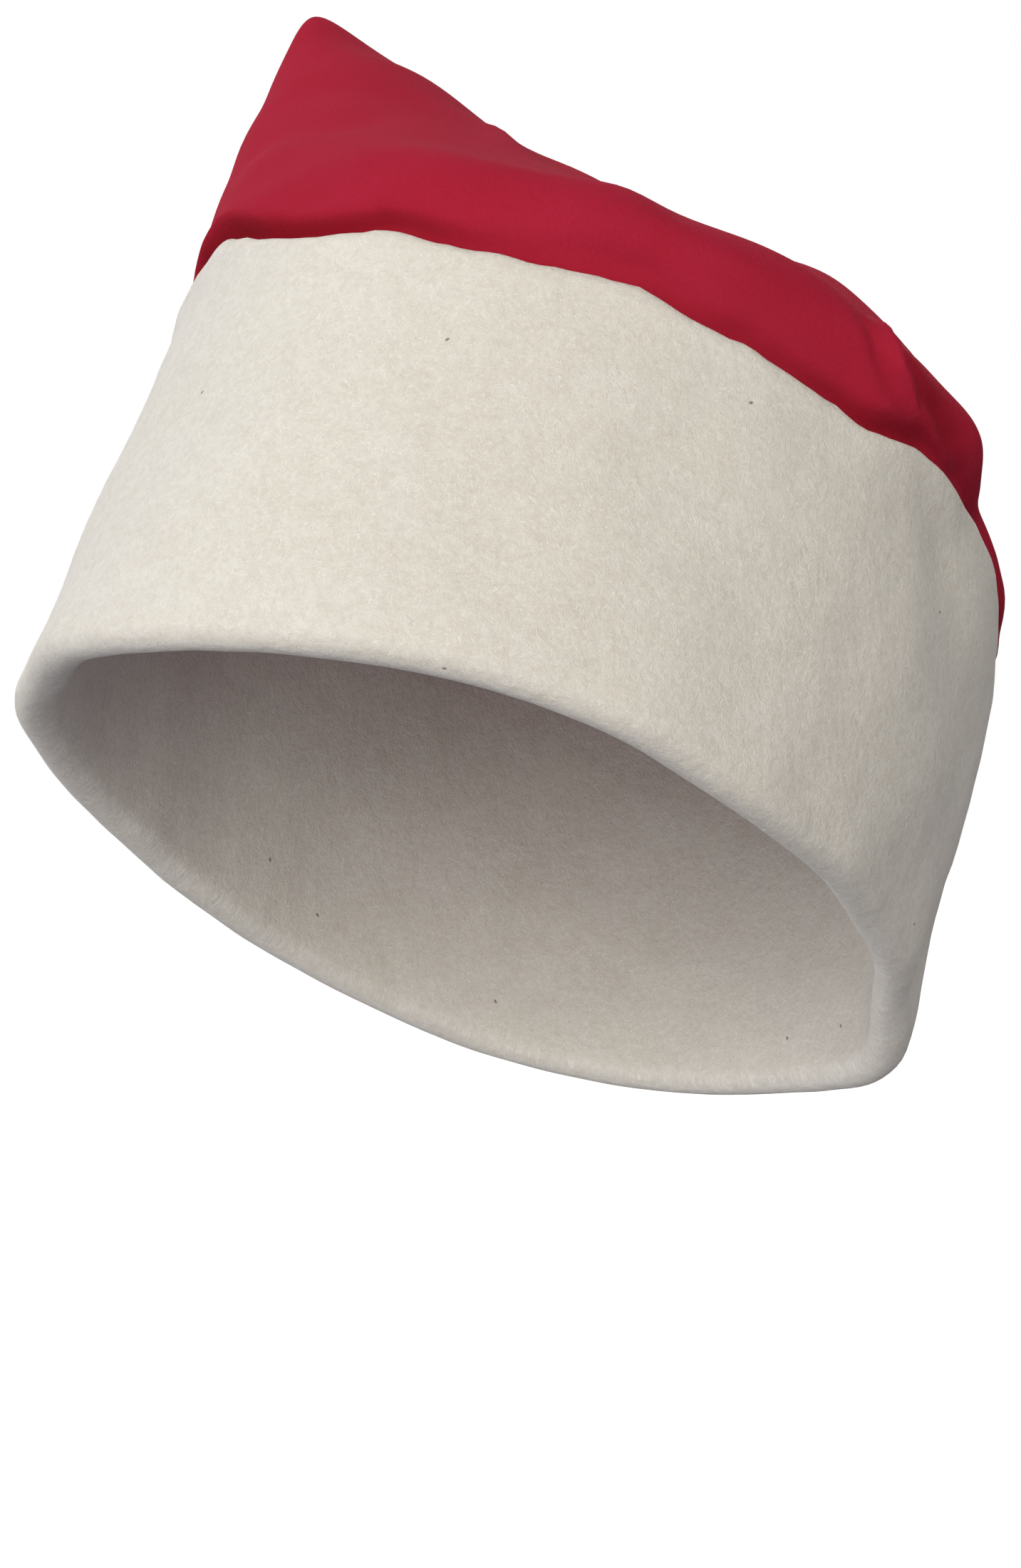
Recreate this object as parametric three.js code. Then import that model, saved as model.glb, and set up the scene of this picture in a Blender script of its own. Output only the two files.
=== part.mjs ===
// Santa hat as worn: a red felt cone sewn into a deep white cuff, its upper part folded over to the back.
// Millimetres, +Z up, -Y the wearer's front, +X the wearer's left. The origin is the middle of the rim.
import * as THREE from "three";

// Driving dimensions
const CUFF_FRONT_TO_BACK = 207; // outside, at the rim
const CUFF_SIDE_TO_SIDE = 181.4; // outside, at the rim
const CUFF_HEIGHT = 86; // rim to seam, where the seam is level
const CUFF_TAPER = 0.926; // outside size at the seam, as a share of the size at the rim
const CUFF_LAYER = 2.4; // one layer of the white felt
const ROLL_RADIUS = 4.6; // outside of the rolled fold along the rim
const CROWN_WALL = 2.2; // the red felt
const HEM_DEPTH = 8; // how far the crown reaches down between the cuff's two layers
const GAP = 0.3; // clearance between the two pieces
const HAT_LEAN = THREE.MathUtils.degToRad(27); // the worn hat tips to the back
const RIDGE_TURN = THREE.MathUtils.degToRad(35); // the fold along the top runs from front right to back left

const ROUND_STEPS = 52; // round the head
const ROLL_STEPS = 6; // round the rolled rim
const WALL_RISES = [0, 0.23, 0.46, 0.69, 0.9, 1]; // the cuff's levels from rim to seam, one of them at the hem

// The cuff round the head, by turn from the front towards the wearer's left: height of the seam, height of the
// fold along the rim, how far the rim flares, and how far the wall swells or sinks halfway up
const EDGES = [
  { turn: -150, seam: 84, rim: -2.5, flare: 0, swell: 0 },
  { turn: -110, seam: 87, rim: 2, flare: 0, swell: -0.5 },
  { turn: -75, seam: 91, rim: 6, flare: 1.5, swell: -1.5 },
  { turn: -50, seam: 94, rim: 4.5, flare: 1.5, swell: -2 },
  { turn: -25, seam: 95, rim: 1, flare: 0, swell: -1.5 },
  { turn: -8, seam: 88.7, rim: -1.2, flare: 0, swell: 0 },
  { turn: 9, seam: 88.6, rim: -1.5, flare: 0, swell: 0.5 },
  { turn: 22, seam: 86, rim: -0.5, flare: 0, swell: 0.5 },
  { turn: 41, seam: 87.3, rim: 1, flare: 0, swell: 0.5 },
  { turn: 56, seam: 84.6, rim: 1.1, flare: -1, swell: 1 },
  { turn: 71, seam: 82.9, rim: 0, flare: -2, swell: 1.5 },
  { turn: 84, seam: 87.6, rim: 1, flare: -4.5, swell: 2.5 },
  { turn: 104, seam: 87.2, rim: 2, flare: -6, swell: 3 },
  { turn: 125, seam: 83, rim: 1, flare: -4.5, swell: 2 },
  { turn: 150, seam: 82, rim: -1, flare: -1, swell: 0.5 },
  { turn: 180, seam: 82, rim: -2.6, flare: 0, swell: 0 },
];

// Where the crown leaves the cuff: rise above the seam, and reach beyond the cuff's outside
const HEM = [
  { rise: -HEM_DEPTH, reach: -CUFF_LAYER - GAP },
  { rise: 0.4, reach: -CUFF_LAYER - GAP },
  { rise: 2.6, reach: -2 },
  { rise: 4.8, reach: -0.2 },
  { rise: 8.5, reach: 1 },
];

// Sections of the crown from just above the seam, over the ridge and down the folded tail. Each section spans
// from its front wall to its back wall: back is the distance towards the back, height is above the rim,
// half is half its width along the ridge, shift moves it along the ridge, oval is its share of the cuff's oval.
const SECTIONS = [
  { frontBack: -94, frontHeight: 99, backBack: 93, backHeight: 97, half: 87, shift: -2, oval: 0.6 },
  { frontBack: -90, frontHeight: 104, backBack: 89, backHeight: 101, half: 85.5, shift: -3.7, oval: 0.4 },
  { frontBack: -82, frontHeight: 109, backBack: 81, backHeight: 106, half: 84.2, shift: -4.8, oval: 0.2 },
  { frontBack: -71, frontHeight: 115, backBack: 70, backHeight: 112, half: 83.5, shift: -5.5, oval: 0 },
  { frontBack: -58, frontHeight: 122.5, backBack: 58, backHeight: 119, half: 83.3, shift: -5.5, oval: 0 },
  { frontBack: -44, frontHeight: 130.5, backBack: 44, backHeight: 126, half: 82.7, shift: -6, oval: 0 },
  { frontBack: -30, frontHeight: 137.5, backBack: 28, backHeight: 132, half: 82.3, shift: -6, oval: 0 },
  { frontBack: -17, frontHeight: 142, backBack: 14, backHeight: 136, half: 81.5, shift: -6, oval: 0 },
  { frontBack: -7, frontHeight: 145, backBack: 5, backHeight: 138.5, half: 80.5, shift: -5.5, oval: 0 },
  { frontBack: 1, frontHeight: 147.3, backBack: 1, backHeight: 140.5, half: 79, shift: -4.5, oval: 0 },
  { frontBack: 9, frontHeight: 148, backBack: 6, backHeight: 142.2, half: 76, shift: -3, oval: 0 },
  { frontBack: 20, frontHeight: 145.5, backBack: 17, backHeight: 139.5, half: 70, shift: -1, oval: 0 },
  { frontBack: 36, frontHeight: 140, backBack: 33, backHeight: 134, half: 62, shift: 2, oval: 0 },
  { frontBack: 53, frontHeight: 133, backBack: 50, backHeight: 127.5, half: 53, shift: 4, oval: 0 },
  { frontBack: 70, frontHeight: 125, backBack: 66.5, backHeight: 120, half: 43, shift: 6, oval: 0 },
  { frontBack: 85, frontHeight: 115.5, backBack: 81, backHeight: 111, half: 33, shift: 8, oval: 0 },
  { frontBack: 97.5, frontHeight: 103.5, backBack: 92.5, backHeight: 100, half: 24, shift: 9, oval: 0 },
  { frontBack: 105.5, frontHeight: 89.5, backBack: 100, backHeight: 87.5, half: 16, shift: 12, oval: 0 },
  { frontBack: 112, frontHeight: 75, backBack: 106.5, backHeight: 73.5, half: 9.5, shift: 15, oval: 0 },
  { frontBack: 116.5, frontHeight: 63, backBack: 113, backHeight: 62, half: 4.5, shift: 17.5, oval: 0 },
];
const RINGS_PER_SECTION = 1.3;
const TIP_LENGTH = 4; // the closed tip beyond the last section
const OPEN_UNTIL = 5; // the crown's sections up to this one are open
const FLAT_FROM = 8; // those from this one on are pressed flat
const HOLLOW_END = 16; // the hollow ends at this one, short of the tip
const EDGE_SEAM = 5; // solid depth along the flattened edges, where the two halves are sewn

// How much higher or lower the ridge stands than its middle, by place along it
const RIDGE_BASE = 96; // the lift fades out downwards to this height
const RIDGE_HEIGHT = 148; // and has its full size at this one
const RIDGE_LIFT = [
  { along: -95, lift: 41 },
  { along: -84, lift: 39 },
  { along: -57, lift: 26 },
  { along: -35, lift: 14.5 },
  { along: -10, lift: 3.5 },
  { along: 10, lift: -2.5 },
  { along: 30, lift: -2 },
  { along: 45, lift: -2.8 },
  { along: 57, lift: -7 },
  { along: 68, lift: -18 },
  { along: 76, lift: -28 },
  { along: 95, lift: -34 },
];

const RED_FELT = new THREE.MeshStandardMaterial({ color: 0xa32438, roughness: 0.92, metalness: 0 });
const WHITE_FELT = new THREE.MeshStandardMaterial({ color: 0xe4e1da, roughness: 0.95, metalness: 0 });

// Smooth value of one column of a table at x, through rows that rise in their key column
function valueAt(rows, key, column, x) {
  const last = rows.length - 1;
  let i = 0;
  while (i < last - 1 && x > rows[i + 1][key]) i += 1;
  const slope = (a, b) => (rows[b][column] - rows[a][column]) / (rows[b][key] - rows[a][key]);
  const span = rows[i + 1][key] - rows[i][key];
  const share = THREE.MathUtils.clamp((x - rows[i][key]) / span, 0, 1);
  const startSlope = slope(Math.max(i - 1, 0), i + 1) * span;
  const endSlope = slope(i, Math.min(i + 2, last)) * span;
  const rise = rows[i + 1][column] - rows[i][column];
  const curve = startSlope + endSlope - 2 * rise;
  const bend = 3 * rise - 2 * startSlope - endSlope;
  return rows[i][column] + share * (startSlope + share * (bend + share * curve));
}

// The edge table once more on each side, so that it runs on past the back of the head
const EDGES_ROUND = [-360, 0, 360].flatMap((add) => EDGES.map((row) => ({ ...row, turn: row.turn + add })));

function edge(column, turn) {
  const whole = THREE.MathUtils.euclideanModulo(THREE.MathUtils.radToDeg(turn) + 180, 360) - 180;
  return valueAt(EDGES_ROUND, "turn", column, whole);
}

// A point of the cuff's oval at a height, a distance beyond its outside
function ovalPoint(turn, height, reach) {
  const scale = 1 + ((CUFF_TAPER - 1) * height) / CUFF_HEIGHT;
  const share = THREE.MathUtils.clamp(height / edge("seam", turn), 0, 1);
  const out = reach + edge("flare", turn) * (1 - share) + edge("swell", turn) * 4 * share * (1 - share);
  return new THREE.Vector3(
    (scale * CUFF_SIDE_TO_SIDE / 2 + out) * Math.sin(turn),
    -(scale * CUFF_FRONT_TO_BACK / 2 + out) * Math.cos(turn),
    height,
  );
}

// One closed body from rings of equal length: joined end to end, or closed by a point at each end
function closedBody(rings, firstPoint, lastPoint) {
  const steps = rings[0].length;
  const points = rings.flat();
  const faces = [];
  const joins = firstPoint ? rings.length - 1 : rings.length;
  for (let r = 0; r < joins; r += 1) {
    const here = r * steps;
    const next = ((r + 1) % rings.length) * steps;
    for (let i = 0; i < steps; i += 1) {
      const j = (i + 1) % steps;
      faces.push(here + i, here + j, next + j, here + i, next + j, next + i);
    }
  }
  if (firstPoint) {
    const lastRing = (rings.length - 1) * steps;
    points.push(firstPoint, lastPoint);
    for (let i = 0; i < steps; i += 1) {
      const j = (i + 1) % steps;
      faces.push(points.length - 2, j, i);
      faces.push(points.length - 1, lastRing + i, lastRing + j);
    }
  }
  const geometry = new THREE.BufferGeometry().setFromPoints(points);
  geometry.setIndex(faces);
  geometry.computeVertexNormals();
  return geometry;
}

// The cuff's cross-section, as distance in from the outside and share of the way up from rim to seam
function cuffSection() {
  const section = [];
  const slot = CROWN_WALL + 2 * GAP;
  const rollWidth = 2 * ROLL_RADIUS;
  const topWidth = 2 * CUFF_LAYER + slot;
  const wall = (insetAt) => WALL_RISES.map((rise) => ({ inset: insetAt(rise), rise }));
  section.push(...wall(() => 0).reverse());
  for (let i = 1; i < ROLL_STEPS; i += 1) {
    const angle = (Math.PI * i) / ROLL_STEPS;
    section.push({
      inset: ROLL_RADIUS * (1 - Math.cos(angle)),
      rise: 0,
      drop: ROLL_RADIUS * Math.sin(angle),
    });
  }
  section.push(...wall((rise) => THREE.MathUtils.lerp(rollWidth, topWidth, rise)));
  section.push(...wall((rise) => THREE.MathUtils.lerp(rollWidth, topWidth, rise) - CUFF_LAYER).reverse());
  for (let i = ROLL_STEPS - 2; i >= 2; i -= 2) {
    const angle = (Math.PI * i) / ROLL_STEPS;
    const innerRadius = ROLL_RADIUS - CUFF_LAYER;
    section.push({
      inset: ROLL_RADIUS - innerRadius * Math.cos(angle),
      rise: 0,
      drop: innerRadius * Math.sin(angle),
    });
  }
  section.push(...wall(() => CUFF_LAYER));
  return section.reverse();
}

function cuffGeometry() {
  const rings = cuffSection().map(({ inset, rise, drop = 0 }) => {
    const ring = [];
    for (let i = 0; i < ROUND_STEPS; i += 1) {
      const turn = (2 * Math.PI * i) / ROUND_STEPS;
      const rollHeight = edge("rim", turn) + ROLL_RADIUS;
      const height = THREE.MathUtils.lerp(rollHeight, edge("seam", turn), rise) - drop;
      ring.push(ovalPoint(turn, height, -inset));
    }
    return ring;
  });
  return closedBody(rings);
}

// A ring of the crown that follows the cuff
function hemRing({ rise, reach }, wall) {
  const ring = [];
  for (let i = 0; i < ROUND_STEPS; i += 1) {
    const turn = (2 * Math.PI * i) / ROUND_STEPS;
    ring.push(ovalPoint(turn, edge("seam", turn) + rise, reach - wall));
  }
  return ring;
}

// The table's sections, with smooth ones between them; step is the place in the table
function smoothSections() {
  const numbered = SECTIONS.map((section, step) => ({ ...section, step }));
  const last = SECTIONS.length - 1;
  const total = Math.round(last * RINGS_PER_SECTION);
  return Array.from({ length: total + 1 }, (_, i) => {
    const step = (last * i) / total;
    const columns = Object.keys(SECTIONS[0]).map((column) => [column, valueAt(numbered, "step", column, step)]);
    return { step, ...Object.fromEntries(columns) };
  });
}

// Where a wall of the section stands in the upright plane across the ridge
function wallPlace(section, name) {
  return new THREE.Vector2(section[`${name}Back`], section[`${name}Height`]);
}

// A ring round one section. The places of its front and back walls are given apart from the section's own,
// so that the hollow is made the same way.
function sectionRing(section, front, back, half) {
  const ring = [];
  const middle = wallPlace(section, "front").lerp(wallPlace(section, "back"), 0.5);
  for (let i = 0; i < ROUND_STEPS; i += 1) {
    const turn = (2 * Math.PI * i) / ROUND_STEPS;
    const ridgeTurn = turn - RIDGE_TURN;
    const along = half * Math.sin(ridgeTurn) + section.shift;
    const centre = front.clone().lerp(back, 0.5).lerp(middle, Math.sin(ridgeTurn) ** 2);
    const place = front.clone().sub(back).multiplyScalar(Math.cos(ridgeTurn) / 2).add(centre);
    const climb = Math.max(0, (place.y - RIDGE_BASE) / (RIDGE_HEIGHT - RIDGE_BASE));
    const height = place.y + climb * valueAt(RIDGE_LIFT, "along", "lift", along);
    const flat = new THREE.Vector2(along, place.x).rotateAround(new THREE.Vector2(), RIDGE_TURN);
    const round = ovalPoint(turn, height, HEM[HEM.length - 1].reach);
    const seamWave = edge("seam", turn) - CUFF_HEIGHT;
    ring.push(new THREE.Vector3(
      THREE.MathUtils.lerp(flat.x, round.x, section.oval),
      THREE.MathUtils.lerp(flat.y, round.y, section.oval),
      height + seamWave * section.oval,
    ));
  }
  return ring;
}

// The ring inside a flat section: its front and back walls moved in by the wall's thickness
function flatHollowRing(sections, i) {
  const before = sections[i - 1];
  const after = sections[i + 1];
  const moved = (name, side) => {
    const run = wallPlace(after, name).sub(wallPlace(before, name)).setLength(CROWN_WALL * side);
    return wallPlace(sections[i], name).add(new THREE.Vector2(run.y, -run.x));
  };
  return sectionRing(sections[i], moved("front", 1), moved("back", -1), sections[i].half - EDGE_SEAM);
}

// The ring inside an open section: every point moved in by the wall's thickness, square to the surface
function openHollowRing(rings, i) {
  const steps = rings[i].length;
  return rings[i].map((point, j) => {
    const round = rings[i][(j + 1) % steps].clone().sub(rings[i][(j + steps - 1) % steps]);
    const up = rings[i + 1][j].clone().sub(rings[i - 1][j]);
    return point.clone().sub(round.cross(up).setLength(CROWN_WALL));
  });
}

function middleOf(ring) {
  const sum = ring.reduce((total, point) => total.add(point), new THREE.Vector3());
  return sum.divideScalar(ring.length);
}

function crownGeometry() {
  const sections = smoothSections();
  const outside = HEM.map((row) => hemRing(row, 0));
  sections.forEach((section) => {
    outside.push(sectionRing(section, wallPlace(section, "front"), wallPlace(section, "back"), section.half));
  });
  const inside = HEM.map((row) => hemRing(row, CROWN_WALL));
  sections.filter(({ step }) => step <= HOLLOW_END).forEach(({ step }, i) => {
    const open = openHollowRing(outside, HEM.length + i);
    const flatness = THREE.MathUtils.smoothstep(step, OPEN_UNTIL, FLAT_FROM);
    if (flatness === 0) inside.push(open);
    else inside.push(flatHollowRing(sections, i).map((point, j) => open[j].clone().lerp(point, flatness)));
  });
  const end = middleOf(outside[outside.length - 1]);
  const beforeEnd = middleOf(outside[outside.length - 2]);
  const tip = end.clone().add(end.clone().sub(beforeEnd).setLength(TIP_LENGTH));
  return closedBody([...inside.reverse(), ...outside], middleOf(inside[0]), tip);
}

const hat = new THREE.Group();
hat.rotation.x = -HAT_LEAN;

const cuff = new THREE.Mesh(cuffGeometry(), WHITE_FELT);
cuff.name = "cuff";
hat.add(cuff);

const crown = new THREE.Mesh(crownGeometry(), RED_FELT);
crown.name = "crown";
hat.add(crown);

const group = new THREE.Group();
group.add(hat);
export default group;
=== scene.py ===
# Looks of a santa hat: a crimson felt cone sewn into a deep white felt cuff, tipped back as it is worn.
# Metres, +Z up, -Y the wearer's front, +X the wearer's left. The origin is the middle of the rim.
import math

import bpy
import numpy as np
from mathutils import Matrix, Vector
from mathutils.kdtree import KDTree


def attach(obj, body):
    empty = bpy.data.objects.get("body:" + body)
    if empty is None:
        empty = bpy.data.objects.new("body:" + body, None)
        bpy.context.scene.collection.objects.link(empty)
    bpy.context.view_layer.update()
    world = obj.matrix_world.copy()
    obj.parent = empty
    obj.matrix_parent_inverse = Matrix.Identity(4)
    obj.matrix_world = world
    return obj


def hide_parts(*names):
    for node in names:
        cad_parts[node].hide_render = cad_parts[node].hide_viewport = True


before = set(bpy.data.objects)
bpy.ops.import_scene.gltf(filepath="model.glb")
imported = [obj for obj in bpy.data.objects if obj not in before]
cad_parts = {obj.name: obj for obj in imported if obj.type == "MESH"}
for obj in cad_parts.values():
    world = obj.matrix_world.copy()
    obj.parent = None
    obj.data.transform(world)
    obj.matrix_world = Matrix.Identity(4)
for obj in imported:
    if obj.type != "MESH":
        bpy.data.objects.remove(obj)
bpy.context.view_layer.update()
print("frame loaded")

mm = 0.001

hat = {
    "lean": math.radians(27),        # the hat's own axis leans to the wearer's back
    "frontToBack": 207,              # outside the rim, in millimetres
    "sideToSide": 181.4,
    "columns": 52,                   # the plain solids' steps round the head
    "merge": 0.01,                   # corners closer than this are one
    "smoothing": 2,                  # levels of subdivision
}

# camera, floor and light

camera = {
    "turn": math.radians(34.7),      # from the wearer's front towards their left
    "rise": math.radians(0.2),
    "distance": 0.8,
    "aim": (0.0068, 0.0047, 0.0192),
    "lens": 93.96,                   # millimetres
    "sensor": 36,
    "nearest": 0.01,                 # metres
    "farthest": 60,
}

stage = {
    "floorDrop": 0.33,               # from the rim down to the floor, the height of a head and neck
    "floorRadius": 12,
    "floorSides": 96,
    "floorRoughness": 0.9,
    "floorColour": (0.86, 0.86, 0.86, 1),
    "floorGlow": 0.62,               # evens the floor out with the pale sky behind it
    "skyColour": (1, 1, 1, 1),
    "skyAbove": (0.15, 0.15, 0.15, 1),
    "skyBelow": (0.08, 0.08, 0.11, 1),
    "skyBlend": (-0.2, 1),           # from how low to how high the one turns into the other
    "lamps": [
        {"name": "side", "turn": -60, "rise": 12, "spread": 60, "power": 1.15, "tint": (0.97, 0.985, 1)},
        {"name": "front", "turn": 20, "rise": 12, "spread": 70, "power": 2.3, "tint": (1, 0.975, 0.915)},
        {"name": "fill", "turn": 60, "rise": 12, "spread": 60, "power": 0.83, "tint": (1, 0.91, 0.75)},
        {"name": "low", "turn": -35, "rise": -35, "spread": 90, "power": 0.45, "tint": (1, 0.92, 0.84)},
        {"name": "back", "turn": 215, "rise": 38, "spread": 70, "power": 1.7, "tint": (1, 1, 1)},
    ],
}


def directionOf(turn, rise):
    return Vector((math.sin(turn) * math.cos(rise), -math.cos(turn) * math.cos(rise), math.sin(rise)))


def addCamera():
    data = bpy.data.cameras.new("camera")
    data.sensor_width = camera["sensor"]
    data.lens = camera["lens"]
    data.clip_start = camera["nearest"]
    data.clip_end = camera["farthest"]
    out = directionOf(camera["turn"], camera["rise"])
    eye = bpy.data.objects.new("camera", data)
    bpy.context.scene.collection.objects.link(eye)
    eye.location = Vector(camera["aim"]) + out * camera["distance"]
    eye.rotation_euler = (-out).to_track_quat("-Z", "Y").to_euler()
    bpy.context.scene.camera = eye


def addNode(tree, kind, inputs=None, **settings):
    node = tree.nodes.new("ShaderNode" + kind)
    for name, value in settings.items():
        setattr(node, name, value)
    for name, value in (inputs or {}).items():
        if isinstance(value, bpy.types.NodeSocket):
            tree.links.new(value, node.inputs[name])
        else:
            node.inputs[name].default_value = value
    return node


def mixColours(tree, share, first, second):
    node = addNode(tree, "Mix", {"Factor": share}, data_type="RGBA")
    for place, value in ((6, first), (7, second)):
        if isinstance(value, bpy.types.NodeSocket):
            tree.links.new(value, node.inputs[place])
        else:
            node.inputs[place].default_value = value
    return node.outputs[2]


def spread(tree, value, low, high, start=0.0, end=1.0):
    inputs = {"Value": value, "From Min": low, "From Max": high, "To Min": start, "To Max": end}
    return addNode(tree, "MapRange", inputs).outputs["Result"]


def combine(tree, operation, first, second):
    return addNode(tree, "Math", {0: first, 1: second}, operation=operation).outputs[0]


def newMaterial(name):
    material = bpy.data.materials.new(name)
    material.use_nodes = True
    tree = material.node_tree
    return material, tree, tree.nodes["Principled BSDF"]


def addFloor():
    material, tree, shader = newMaterial("floor_paint")
    shader.inputs["Base Color"].default_value = stage["floorColour"]
    shader.inputs["Roughness"].default_value = stage["floorRoughness"]
    shader.inputs["Emission Color"].default_value = stage["floorColour"]
    shader.inputs["Emission Strength"].default_value = stage["floorGlow"]
    bpy.ops.object.select_all(action="DESELECT")
    bpy.ops.mesh.primitive_circle_add(
        vertices=stage["floorSides"],
        radius=stage["floorRadius"],
        fill_type="NGON",
        location=(0, 0, -stage["floorDrop"]),
    )
    floor = bpy.context.object
    floor.name = "floor"
    floor.data.materials.append(material)
    floor.visible_diffuse = False    # the underside of the hat stays in shade


def addLight():
    world = bpy.data.worlds.new("studio")
    bpy.context.scene.world = world
    world.use_nodes = True
    tree = world.node_tree
    shown = tree.nodes["Background"]
    shown.inputs["Color"].default_value = stage["skyColour"]
    place = addNode(tree, "TexCoord").outputs["Generated"]
    height = addNode(tree, "SeparateXYZ", {0: place}).outputs["Z"]
    glow = mixColours(tree, spread(tree, height, *stage["skyBlend"]), stage["skyBelow"], stage["skyAbove"])
    soft = addNode(tree, "Background", {"Color": glow})
    isSeen = addNode(tree, "LightPath").outputs["Is Camera Ray"]
    sky = addNode(tree, "MixShader", {0: isSeen, 1: soft.outputs[0], 2: shown.outputs[0]})
    tree.links.new(sky.outputs[0], tree.nodes["World Output"].inputs["Surface"])

    for row in stage["lamps"]:
        lamp = bpy.data.objects.new(row["name"], bpy.data.lights.new(row["name"], "SUN"))
        lamp.data.energy = row["power"]
        lamp.data.color = row["tint"]
        lamp.data.angle = math.radians(row["spread"])
        bpy.context.scene.collection.objects.link(lamp)
        towards = directionOf(math.radians(row["turn"]), math.radians(row["rise"]))
        lamp.rotation_euler = towards.to_track_quat("Z", "Y").to_euler()
    bpy.context.scene.view_settings.view_transform = "Standard"


addCamera()
addFloor()
addLight()
print("camera, floor and light made")


# the hat's own upright frame, in millimetres: z up from the rim, turn from the front to the wearer's left

def toHat(points):
    c, s = math.cos(hat["lean"]), math.sin(hat["lean"])
    x, y, z = points.T / mm
    return np.column_stack((x, y * c - z * s, y * s + z * c))


def toRow(points):
    c, s = math.cos(hat["lean"]), math.sin(hat["lean"])
    x, y, z = points.T * mm
    return np.column_stack((x, y * c + z * s, -y * s + z * c))


def turnOf(points):
    return np.degrees(np.arctan2(points[:, 0] * hat["frontToBack"] / hat["sideToSide"], -points[:, 1]))


def roundSize(points):
    # 1 where the outside of the rim is: the crown is inside it, and the tail hangs outside it
    return np.hypot(points[:, 0] / hat["sideToSide"] * 2, points[:, 1] / hat["frontToBack"] * 2)


def readMesh(piece, what="co"):
    values = np.empty(len(piece.data.vertices) * 3)
    piece.data.vertices.foreach_get(what, values)
    return values.reshape(-1, 3)


def writePoints(piece, points):
    piece.data.vertices.foreach_set("co", points.ravel())
    piece.data.update()


def seamLine():
    # height of the seam by turn, from the top edge of the plain cuff
    points = toHat(readMesh(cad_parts["cuff"]))
    column = np.round((turnOf(points) + 180) / 360 * hat["columns"]).astype(int) % hat["columns"]
    heights = np.array([points[column == i, 2].max() for i in range(hat["columns"])])
    return np.arange(hat["columns"]) * 360 / hat["columns"] - 180, heights


def riseAboveSeam(points):
    return points[:, 2] - np.interp(turnOf(points), *seam, period=360)


# a soft piece starts as a smooth copy of its plain solid, and its shape is then worked by the listed moves

def selectOnly(piece):
    bpy.ops.object.select_all(action="DESELECT")
    piece.select_set(True)
    bpy.context.view_layer.objects.active = piece


def quadCopy(node, name):
    piece = bpy.data.objects.new(name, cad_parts[node].data.copy())
    bpy.context.scene.collection.objects.link(piece)
    piece.data.materials.clear()
    selectOnly(piece)
    bpy.ops.object.mode_set(mode="EDIT")
    bpy.ops.mesh.select_all(action="SELECT")
    bpy.ops.mesh.remove_doubles(threshold=hat["merge"] * mm)
    bpy.ops.mesh.tris_convert_to_quads(face_threshold=math.pi, shape_threshold=math.pi)
    bpy.ops.object.mode_set(mode="OBJECT")
    return piece


def markInside(piece, isHem):
    # a vertex group of all behind the hem, found by cutting the surface there and walking from the top
    points = toHat(readMesh(piece))
    hem = set(np.flatnonzero(isHem(points)))
    around = [[] for _ in points]
    for face in piece.data.polygons:
        if not set(face.vertices) <= hem:
            for edge in face.edge_keys:
                around[edge[0]].append(edge[1])
                around[edge[1]].append(edge[0])
    seen, todo = set(), [int(points[:, 2].argmax())]
    while todo:
        here = todo.pop()
        if here not in seen:
            seen.add(here)
            todo += around[here]
    inside = [i for i in range(len(points)) if i not in seen]
    piece.vertex_groups.new(name="inside").add(inside, 1, "REPLACE")


def insideShare(piece):
    share = np.zeros(len(piece.data.vertices))
    for vertex in piece.data.vertices:
        for group in vertex.groups:
            share[vertex.index] = group.weight
    return share


def smoothOut(piece):
    selectOnly(piece)
    smooth = piece.modifiers.new("smooth", "SUBSURF")
    smooth.levels = smooth.render_levels = hat["smoothing"]
    bpy.ops.object.modifier_apply(modifier=smooth.name)
    bpy.ops.object.shade_smooth()


def refine(piece, isFine):
    # one more cut through the faces whose middle is in a place that needs finer folds
    middles = np.empty(len(piece.data.polygons) * 3)
    piece.data.polygons.foreach_get("center", middles)
    chosen = isFine(toHat(middles.reshape(-1, 3)))
    selectOnly(piece)
    bpy.ops.object.mode_set(mode="EDIT")
    bpy.ops.mesh.select_mode(type="FACE")
    bpy.ops.mesh.select_all(action="DESELECT")
    bpy.ops.object.mode_set(mode="OBJECT")
    piece.data.polygons.foreach_set("select", chosen)
    bpy.ops.object.mode_set(mode="EDIT")
    bpy.ops.mesh.subdivide(number_cuts=1, smoothness=1)
    bpy.ops.object.mode_set(mode="OBJECT")


def near(points, at, size):
    return np.exp(-np.sum((points - np.array(at)) ** 2, axis=1) / size ** 2)


def lineGap(points, line):
    # distance to a line through a few points, the share of the way along it, and the way across it
    gap = np.full(len(points), 1e6)
    share = np.zeros(len(points))
    across = np.zeros_like(points)
    corners = np.array(line, float)
    for i, (start, end) in enumerate(zip(corners[:-1], corners[1:])):
        run = end - start
        step = np.clip((points - start) @ run / (run @ run), 0, 1)
        offset = points - start - step[:, None] * run
        here = np.linalg.norm(offset, axis=1)
        closer = here < gap
        gap[closer] = here[closer]
        share[closer] = (i + step[closer]) / (len(corners) - 1)
        across[closer] = np.cross(run, offset[closer])
    return gap, share, across


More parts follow.
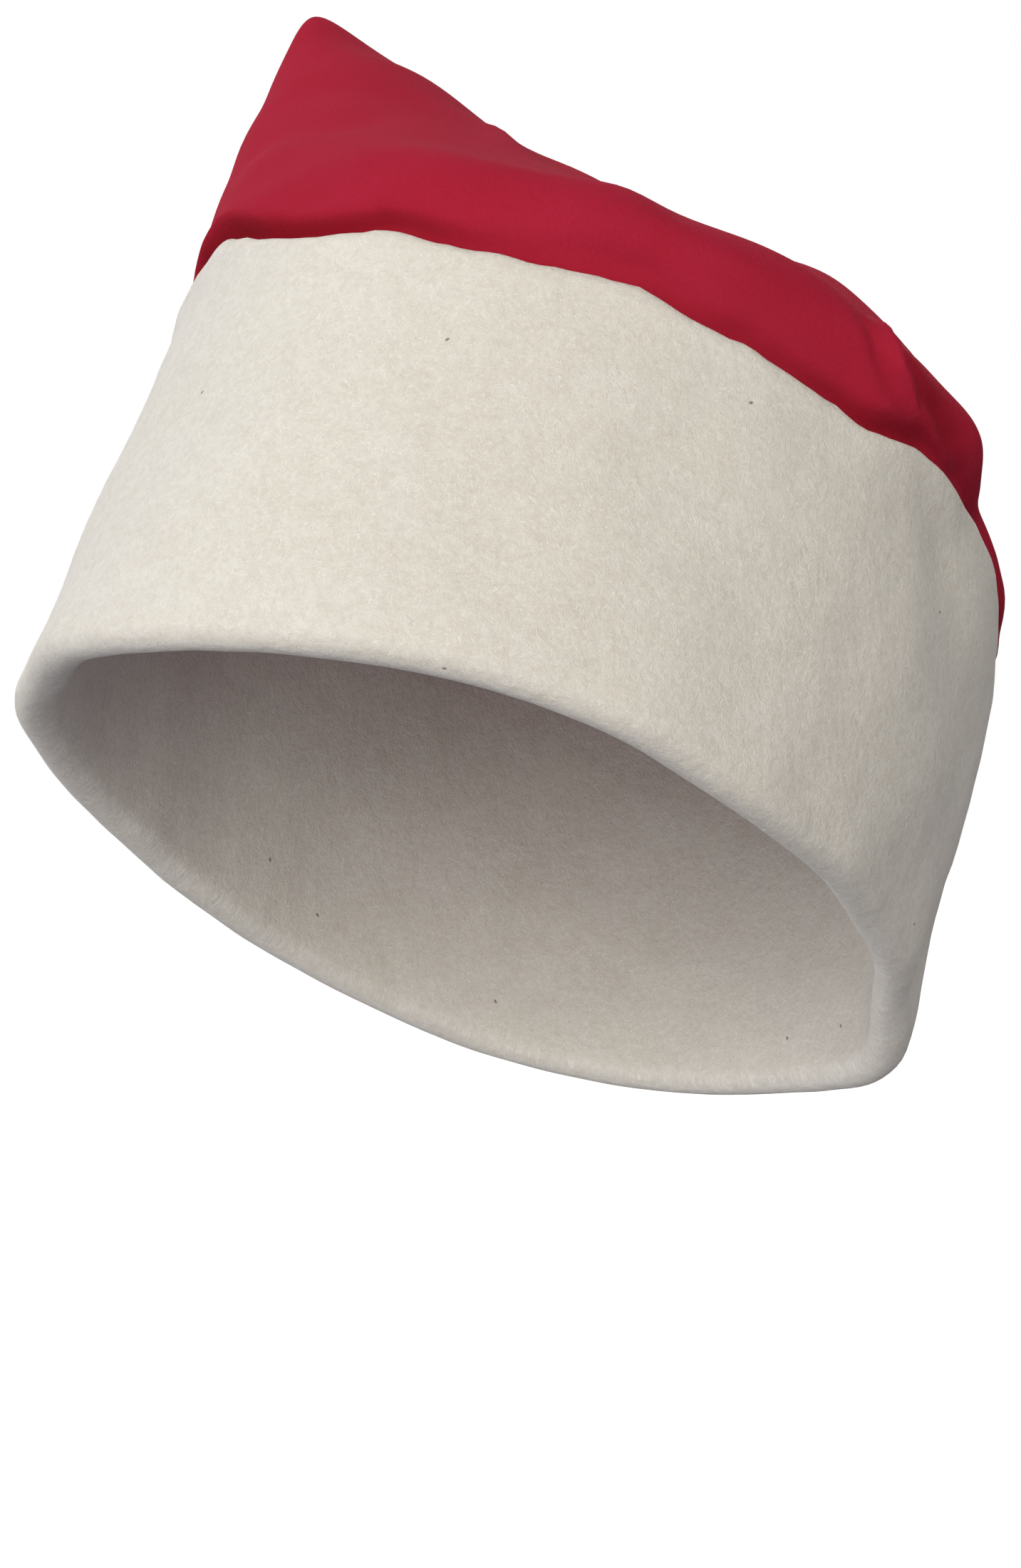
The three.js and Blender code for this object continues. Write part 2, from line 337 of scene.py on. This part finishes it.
def foldLift(points, fold):
    # a ridge (lift above 0) or a hollow (below 0) along a line, fading out towards its ends. Seen from outside,
    # the line's left side may fall away steeply, and stay lower for a while
    gap, share, across = lineGap(points, fold["line"])
    fade = np.clip(np.minimum(share, 1 - share) / fold["fade"], 0, 1)
    lift = fold["lift"] * np.exp(-(gap / fold["width"]) ** 2)
    if "steep" in fold:
        isLeft = np.sum(across * outwards(points), axis=1) > 0
        fall = np.exp(-(gap / fold["steep"]) ** 2)
        low = fold["lift"] * fall - fold["drop"] * (1 - fall) * np.exp(-(gap / fold["reach"]) ** 2)
        lift = np.where(isLeft, low, lift)
    return lift * fade * fade * (3 - 2 * fade)


def foldMoves(points, fold, normals=None):
    way = fold["way"] if "way" in fold else normals
    return foldLift(points, fold)[:, None] * way


def softWaves(points, size, seed, count=14):
    # smooth random swelling between about -1 and 1, with hollows about size apart
    random = np.random.default_rng(seed)
    total = np.zeros(len(points))
    for _ in range(count):
        way = random.normal(size=3)
        way *= 2 * math.pi / (size * random.uniform(0.7, 1.6)) / np.linalg.norm(way)
        total += np.sin(points @ way + random.uniform(0, 2 * math.pi))
    return total / math.sqrt(count)


def outwards(points):
    flat = points[:, :2] / np.linalg.norm(points[:, :2], axis=1)[:, None]
    return np.column_stack((flat, np.zeros(len(points))))


def shapeMoves(points, shapes):
    moves = np.zeros_like(points)
    for shape in shapes:
        share = near(points, shape["at"], shape["size"])[:, None]
        moves += share * (shape["out"] * outwards(points) + shape["up"] * np.array((0, 0, 1.0)))
    return moves


def byTurn(points, table):
    turns = sorted(table)
    return np.interp(turnOf(points), turns, [table[turn] for turn in turns], period=360)


def bumpAt(rise, height, size):
    return np.exp(-((rise - height) / size) ** 2)


def seamMoves(points):
    # what the crown and the cuff share near the seam
    ripple = softWaves(points * (1, 1, 0), seamShape["rippleSize"], seamShape["rippleSeed"])
    waves = byTurn(points, seamShape["rises"]) + seamShape["ripple"] * ripple
    waves *= bumpAt(riseAboveSeam(points), 0, seamShape["reach"])
    moves = waves[:, None] * np.array((0, 0, 1.0)) + shapeMoves(points, seamShape["shapes"])
    return moves + foldMoves(points, seamShape["pull"])


def setShare(piece, name, values):
    attribute = piece.data.attributes.new(name, "FLOAT", "POINT")
    attribute.data.foreach_set("value", values.astype(np.float32))


def wallMoves(piece, moveOf):
    # moves the outside by moveOf, in the hat's frame, and the inside along with what it backs
    points = toHat(readMesh(piece))
    normals = toHat(readMesh(piece, "normal") * mm)
    outer = insideShare(piece) < 0.5
    moves = np.zeros_like(points)
    moves[outer] = moveOf(points[outer], normals[outer])
    tree = KDTree(int(outer.sum()))
    places = np.flatnonzero(outer)
    for i in places:
        tree.insert(points[i], int(i))
    tree.balance()
    for i in np.flatnonzero(~outer):
        moves[i] = moves[tree.find(points[i])[1]]
    writePoints(piece, toRow(points + moves))


seam = seamLine()
seamShape = {
    "ripple": 0.25,                  # small waves, this high and long
    "rippleSize": 9,
    "rippleSeed": 11,
    "reach": 9,                      # how far above and below the seam they are felt
    # the seam's own ups and downs, by turn
    "rises": {-60: 0, -44: 0.8, -37: 2.6, -31: 1.5, -25: 2.2, -20: 1.1, -11: 0.8, -6: 0.2, -2: -0.5,
              3: 0, 5: 0.2, 7: 1.0, 9: 1.1, 14: 0.8, 16: 0.3, 24: 0.9, 30: 0.2, 37: 0.4, 42: 1.1, 47: -0.4,
              50: -0.5, 53: 0.3, 56: 1.0, 61: 0.4, 65: 0.7, 69: 0.9, 71: -0.3, 74: -1.2, 78: -1.3,
              82: -0.1, 87: 0.2, 96: 0.6, 100: 1.1, 110: 0.5, 125: 0, 150: 0.6, 170: -0.5, 200: 0.5,
              230: -0.4, 260: 0.5, 280: -0.3, 300: 0},
    "shapes": [
        {"at": (80, -22, 88), "size": 11, "out": 1.0, "up": 0},
    ],
    # the pleat, which draws the seam forward with it
    "pull": {"line": [(66, -20, 119), (76, -23, 109), (81, -22, 103), (84, -17, 98), (84, -9, 94),
                      (83, 1, 91), (83, 5, 82), (83, 6, 72)],
             "way": (0.6, -0.77, -0.18), "width": 16, "lift": 3.4, "steep": 5, "drop": 0, "reach": 8,
             "fade": 0.3},
    # how deep the groove above the seam is, by turn, and how strong its painted shade is
    "depths": {-60: 0.8, -35: 1, -15: 0.9, 0: 0.9, 10: 0.65, 21: 0.4, 31: 0.2, 41: 0.05, 52: 0.4, 63: 0.4,
               76: 0.7, 86: 0.3, 95: 0, 108: 0.1, 125: 0.6, 180: 0.8, 240: 0.7},
}
print("seam line read")

# the cuff. Places are in the hat's frame, in millimetres

cuffShape = {
    "shapes": [
        {"at": (-52, -76, 84), "size": 22, "out": -1.3, "up": 0},
        {"at": (-58, -77, 14), "size": 20, "out": -1.3, "up": 0},
        {"at": (86, 4, 72), "size": 9, "out": -1.6, "up": 0},
        {"at": (86, -2, 50), "size": 20, "out": 0.9, "up": 0},
        {"at": (82, 22, 52), "size": 14, "out": -1.5, "up": 0},
        {"at": (85, -22, 11), "size": 5, "out": -0.5, "up": 0},
        {"at": (84, 20, 14), "size": 9, "out": -0.8, "up": 0},
        {"at": (86, 0, 6), "size": 8, "out": 0.9, "up": 0},
        {"at": (72, 53, 62), "size": 20, "out": 1.9, "up": 0},
        {"at": (69, 60, 14), "size": 12, "out": -2.4, "up": 0},
        {"at": (49, 83, 1), "size": 22, "out": 3.6, "up": -2.2},
    ],
    "lip": 0.7,                      # how far the top edge stands out
    "lipDrop": 2.5,                  # how far below the seam it does so most
    "lipSize": 2.5,
    "waves": 0.45,                   # broad soft dents
    "waveSize": 34,
    "waveSeed": 3,
    "dents": 0.12,                   # and small ones
    "dentSize": 11,
    "dentSeed": 8,
    "dentCount": 40,
}


def cuffMoves(points, normals):
    rise = riseAboveSeam(points)
    out = cuffShape["lip"] * bumpAt(rise, -cuffShape["lipDrop"], cuffShape["lipSize"])
    out += cuffShape["waves"] * softWaves(points, cuffShape["waveSize"], cuffShape["waveSeed"])
    dents = softWaves(points, cuffShape["dentSize"], cuffShape["dentSeed"], cuffShape["dentCount"])
    out += cuffShape["dents"] * dents
    return shapeMoves(points, cuffShape["shapes"]) + seamMoves(points) + out[:, None] * outwards(points)


cuff = quadCopy("cuff", "cuff_felt")
cuff.vertex_groups.new(name="inside")
smoothOut(cuff)
wallMoves(cuff, cuffMoves)
print("cuff shaped")

# the crown

crownShape = {
    "shapes": [                      # broad corrections: where, how wide, how far out, how far up
        {"at": (-71, -53, 166), "size": 20, "out": -2.2, "up": 0},
        {"at": (-69, -48, 180), "size": 9, "out": 0, "up": 1.2},
        {"at": (-60, -66, 104), "size": 14, "out": -1.6, "up": 0},
        {"at": (-36, -40, 162), "size": 13, "out": 0, "up": 1.2},
        {"at": (-14, -41, 150), "size": 12, "out": 0, "up": -0.8},
        {"at": (12, -42, 137), "size": 13, "out": 0, "up": 1.0},
        {"at": (45, -70, 109), "size": 9, "out": 0, "up": 1.3},
        {"at": (55, -66, 107), "size": 8, "out": 0, "up": -1.0},
        {"at": (64, -50, 108), "size": 12, "out": 0, "up": 1.5},
        {"at": (49, -8, 131), "size": 13, "out": 0, "up": 1.6},
        {"at": (58, 14, 130), "size": 14, "out": -1.5, "up": -4.0},
        {"at": (75, -24, 111), "size": 9, "out": -1.2, "up": -1.2},
        {"at": (84, 4, 103), "size": 8, "out": 1.4, "up": 0.6},
        {"at": (84, 17, 98), "size": 7, "out": -1.0, "up": -0.8},
        {"at": (80, 29, 96), "size": 10, "out": -4.0, "up": 0},
        {"at": (70, 54, 92), "size": 12, "out": 1.9, "up": -0.5},
        {"at": (58, 72, 87), "size": 12, "out": 3.8, "up": -1.5},
    ],
    "folds": [
        {"line": [(68, -19, 118), (76, -25, 109), (81, -27, 102), (83, -24, 97), (84, -15, 93),
                  (82, -3, 92), (81, 8, 92)],
         "width": 2.2, "lift": 1.4, "steep": 2.0, "drop": 1.5, "reach": 6, "fade": 0.14, "shade": 0.55},
        {"line": [(73, -33, 108), (78, -33, 102), (82, -29, 96), (83, -22, 91), (83, -12, 89)],
         "width": 1.9, "lift": -0.9, "fade": 0.3, "shade": 0.6},
        {"line": [(-20, -40, 152), (-4, -52, 140), (14, -66, 123)],
         "width": 3, "lift": 1.0, "fade": 0.4, "shade": 0},
        {"line": [(-12, -36, 150), (4, -48, 138), (20, -60, 123)],
         "width": 4, "lift": -0.9, "fade": 0.4, "shade": 0.35},
    ],
    "overhang": 2.0,                 # how far the lowest roll stands out above the seam
    "overhangRise": 4.2,
    "overhangSize": 2.4,
    "overhangFade": 1.8,             # how fast it shrinks where the groove gets shallow
    "tuck": 1.4,                     # how far the felt is drawn in at the seam
    "tuckRise": 1,
    "tuckSize": 1.8,
    "seamShade": 4.6,                # how far up from the seam the painted shade reaches
    "waves": 0.35,                   # broad soft dents
    "waveSize": 26,
    "waveSeed": 5,
    "waveClimb": 0.5,                # how much of a dent goes up or down
    "backWaves": 0.7,                # and deeper ones on the back and the tail
    "backSize": 42,
    "backSeed": 21,
    "backReach": 40,                 # full from this far behind the middle
    "hemReach": 4,                   # from here down the felt follows the cuff's top edge
    "hemCut": -7,                    # just above the hem's lower end, where the inner wall begins
    "tailStart": 1.05,               # in sizes of the rim: the tail hangs outside this, clear of the seam
    "tailFade": 0.05,
    "paintedShadeEnd": 1.02,               # outside this the painted shade of the seam is left off the felt
    # the pleat and the felt round it get a finer mesh
    "pleatTurns": (55, 120),
    "pleatBase": 88,
    "pleatTop": 45,                  # above the seam
    "pleatReach": 10,
}


def crownMoves(points, normals):
    shape = crownShape
    moves = shapeMoves(points, shape["shapes"])
    for fold in shape["folds"]:
        moves += foldMoves(points, fold, normals)
    rise, depth = riseAboveSeam(points), byTurn(points, seamShape["depths"])
    roll = shape["overhang"] * bumpAt(rise, shape["overhangRise"], shape["overhangSize"])
    roll *= 1 - shape["overhangFade"] * (1 - depth)
    tuck = depth * shape["tuck"] * bumpAt(rise, shape["tuckRise"], shape["tuckSize"])
    onCrown = np.clip((shape["tailStart"] - roundSize(points)) / shape["tailFade"], 0, 1)[:, None]
    moves += onCrown * (seamMoves(points) + (roll - tuck)[:, None] * outwards(points))
    onBack = np.clip(points[:, 1] / shape["backReach"], 0, 1)
    waves = shape["waves"] * softWaves(points, shape["waveSize"], shape["waveSeed"])
    waves += shape["backWaves"] * softWaves(points, shape["backSize"], shape["backSeed"]) * onBack
    moves += waves[:, None] * (outwards(points) + np.array((0, 0, shape["waveClimb"])))
    hem = onCrown * np.clip(1 - rise / shape["hemReach"], 0, 1)[:, None]
    return moves * (1 - hem) + (cuffMoves(points, normals) - tuck[:, None] * outwards(points)) * hem


def crownPaintedShade(points):
    # painted shade: 1 deep in a fold or along the seam, 0 on the open felt
    rise = np.clip(riseAboveSeam(points) - byTurn(points, seamShape["rises"]), 0, None)
    depth = byTurn(points, seamShape["depths"]) * np.exp(-(rise / crownShape["seamShade"]) ** 4)
    depth[roundSize(points) > crownShape["paintedShadeEnd"]] = 0
    for fold in crownShape["folds"]:
        depth = np.maximum(depth, -foldLift(points, fold) * fold["shade"])
    return np.clip(depth, 0, 1)


def nearPleat(points):
    turn = turnOf(points)
    first, last = crownShape["pleatTurns"]
    isHigh = points[:, 2] > crownShape["pleatBase"]
    return (turn > first) & (turn < last) & isHigh & (riseAboveSeam(points) < crownShape["pleatTop"])


def onPleat(points):
    ridge = crownShape["folds"][0]["line"]
    return nearPleat(points) & (lineGap(points, ridge)[0] < crownShape["pleatReach"])


def behindHem(points):
    return (riseAboveSeam(points) < crownShape["hemCut"]) & (roundSize(points) < 1)


crown = quadCopy("crown", "crown_felt")
markInside(crown, behindHem)
smoothOut(crown)
refine(crown, nearPleat)
refine(crown, onPleat)
wallMoves(crown, crownMoves)
# painted shade along the seam groove and in the folds, kept per point for the colour of the red felt
setShare(crown, "painted_crease_shade", crownPaintedShade(toHat(readMesh(crown))))
print("crown shaped")

# materials

def noiseOf(tree, place, scale, detail=3, roughness=0.55):
    inputs = {"Vector": place, "Scale": scale, "Detail": detail, "Roughness": roughness}
    return addNode(tree, "TexNoise", inputs).outputs["Fac"]


def setBump(tree, shader, height, look):
    inputs = {"Height": height, "Strength": look["bump"], "Distance": look["bumpDepth"]}
    bump = addNode(tree, "Bump", inputs)
    tree.links.new(bump.outputs[0], shader.inputs["Normal"])


redLook = {
    "open": (0.405, 0.0172, 0.0425, 1),
    "worn": (0.419, 0.0192, 0.0475, 1),
    # deep red, for the darker grain of the nap and for painted shade; the share below is how strongly the
    # painted shade of folds and seam darkens the red
    "folded": (0.26, 0.008, 0.014, 1),
    "paintedShadeShare": 0.85,
    "roughness": 0.95,
    "gloss": 0.02,
    "sheen": 0.03,
    "sheenTint": (1, 0.2, 0.25, 1),
    # noise: scale, detail and roughness. A pattern's range: from, to, and how much of it shows there
    "nap": (1500, 4, 0.65),
    "napRange": (0.35, 0.7, 0, 0.2),
    "patches": (60, 2),
    "patchRange": (0.35, 0.65),
    "bump": 0.4,
    "bumpDepth": 0.0003,
}


def redFelt():
    material, tree, shader = newMaterial("red_felt")
    place = addNode(tree, "TexCoord").outputs["Object"]
    nap = noiseOf(tree, place, *redLook["nap"])
    patches = noiseOf(tree, place, *redLook["patches"])
    # painted shade: the seam groove and the folds darken the red towards the deep red
    painted_crease_shade = addNode(tree, "Attribute", attribute_name="painted_crease_shade").outputs["Fac"]
    felt = mixColours(tree, spread(tree, patches, *redLook["patchRange"]), redLook["open"], redLook["worn"])
    fine = mixColours(tree, spread(tree, nap, *redLook["napRange"]), felt, redLook["folded"])
    share = combine(tree, "MULTIPLY", painted_crease_shade, redLook["paintedShadeShare"])
    tree.links.new(mixColours(tree, share, fine, redLook["folded"]), shader.inputs["Base Color"])
    shader.inputs["Roughness"].default_value = redLook["roughness"]
    shader.inputs["Specular IOR Level"].default_value = redLook["gloss"]
    shader.inputs["Sheen Weight"].default_value = redLook["sheen"]
    shader.inputs["Sheen Tint"].default_value = redLook["sheenTint"]
    setBump(tree, shader, nap, redLook)
    return material


whiteLook = {
    "open": (0.832, 0.806, 0.758, 1),
    "cool": (0.805, 0.785, 0.72, 1),
    "shade": (0.68, 0.633, 0.56, 1),
    "fibre": (0.92, 0.905, 0.87, 1),
    "speck": (0.20, 0.125, 0.07, 1),
    "fibreLength": 0.0014,
    "fibreWidth": 0.00038,
    "fibreCurl": 1.4,
    "fibreTurns": (12, 57, 101, 146),  # degrees from the rim's own direction
    "speckRoom": 0.075,              # one small dark speck in each oblong of this length
    "speckSize": 0.0006,
    "speckShape": 0.6,               # the oblong's width, as a share of its length
    "speckTurn": 35,
    "speckShare": 0.8,
    "fibreRange": (0.64, 0.78, 0, 0.75),
    "fleckRange": (0.72, 0.8),
    "grain": (650, 4, 0.65),
    "grainRange": (0.4, 0.65, 0, 0.45),
    "blots": (190, 3, 0.6),
    "blotRange": (0.42, 0.7, 0, 0.3),
    "blotHeight": 2,
    "broad": (42, 3),
    "broadRange": (0.35, 0.65),
    "bump": 0.62,
    "bumpDepth": 0.0004,
    "roughness": 0.9,
    "fleckRoughness": 0.42,
    "gloss": 0.25,
    "sheen": 0.1,
}


def laidOut(tree, cloth, turn, length, width):
    return addNode(tree, "Mapping", {
        "Vector": cloth, "Rotation": (0, 0, math.radians(turn)), "Scale": (length, width, 1),
    }, vector_type="TEXTURE").outputs[0]


def fibresOf(tree, cloth, turn):
    place = laidOut(tree, cloth, turn, whiteLook["fibreLength"], whiteLook["fibreWidth"])
    return addNode(tree, "TexNoise", {
        "Vector": place, "Scale": 1, "Detail": 1, "Distortion": whiteLook["fibreCurl"],
    }, noise_dimensions="2D").outputs["Fac"]


def whiteFelt():
    material, tree, shader = newMaterial("white_felt")
    source = addNode(tree, "TexCoord")
    place, cloth = source.outputs["Object"], source.outputs["UV"]
    look = whiteLook
    fibres = None
    for turn in look["fibreTurns"]:
        layer = fibresOf(tree, cloth, turn)
        fibres = layer if fibres is None else combine(tree, "MAXIMUM", fibres, layer)
    grain = noiseOf(tree, place, *look["grain"])
    blots = noiseOf(tree, place, *look["blots"])
    broad = noiseOf(tree, place, *look["broad"])
    felt = mixColours(tree, spread(tree, broad, *look["broadRange"]), look["open"], look["cool"])
    felt = mixColours(tree, spread(tree, blots, *look["blotRange"]), felt, look["shade"])
    felt = mixColours(tree, spread(tree, grain, *look["grainRange"]), felt, look["shade"])
    felt = mixColours(tree, spread(tree, fibres, *look["fibreRange"]), felt, look["fibre"])
    room = look["speckRoom"]
    rooms = laidOut(tree, cloth, look["speckTurn"], room, look["speckShape"] * room)
    speck = addNode(tree, "TexVoronoi", {"Vector": rooms, "Scale": 1}, voronoi_dimensions="2D")
    size = look["speckSize"] / room
    isSpeck = spread(tree, speck.outputs["Distance"], size / 2, size, look["speckShare"], 0)
    tree.links.new(mixColours(tree, isSpeck, felt, look["speck"]), shader.inputs["Base Color"])
    fleck = spread(tree, fibres, *look["fleckRange"], look["roughness"], look["fleckRoughness"])
    tree.links.new(fleck, shader.inputs["Roughness"])
    shader.inputs["Specular IOR Level"].default_value = look["gloss"]
    shader.inputs["Sheen Weight"].default_value = look["sheen"]
    raised = combine(tree, "MULTIPLY", blots, look["blotHeight"])
    setBump(tree, shader, combine(tree, "ADD", raised, combine(tree, "SUBTRACT", fibres, grain)), look)
    return material


def unrollCuff(piece):
    # UV in metres: round the head, and up the wall and on over the rolled rim
    points = toHat(readMesh(piece))
    up = points[:, 2] - np.clip(1 - roundSize(points), 0, None) * hat["frontToBack"] / 2
    turn = turnOf(points)
    corners = np.empty(len(piece.data.loops), int)
    piece.data.loops.foreach_get("vertex_index", corners)
    starts, counts = np.empty(len(piece.data.polygons), int), np.empty(len(piece.data.polygons), int)
    piece.data.polygons.foreach_get("loop_start", starts)
    piece.data.polygons.foreach_get("loop_total", counts)
    first = turn[np.repeat(corners[starts], counts)]
    around = first + (turn[corners] - first + 180) % 360 - 180
    radius = (hat["sideToSide"] + hat["frontToBack"]) / 4
    uv = np.column_stack((np.radians(around) * radius, up[corners])) * mm
    piece.data.uv_layers.new(name="cloth").data.foreach_set("uv", uv.ravel())


unrollCuff(cuff)
crown.data.materials.append(redFelt())
cuff.data.materials.append(whiteFelt())
print("materials made")

for piece, node, slot in ((crown, "crown", "red_felt"), (cuff, "cuff", "white_felt")):
    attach(piece, "root")
    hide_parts(node)
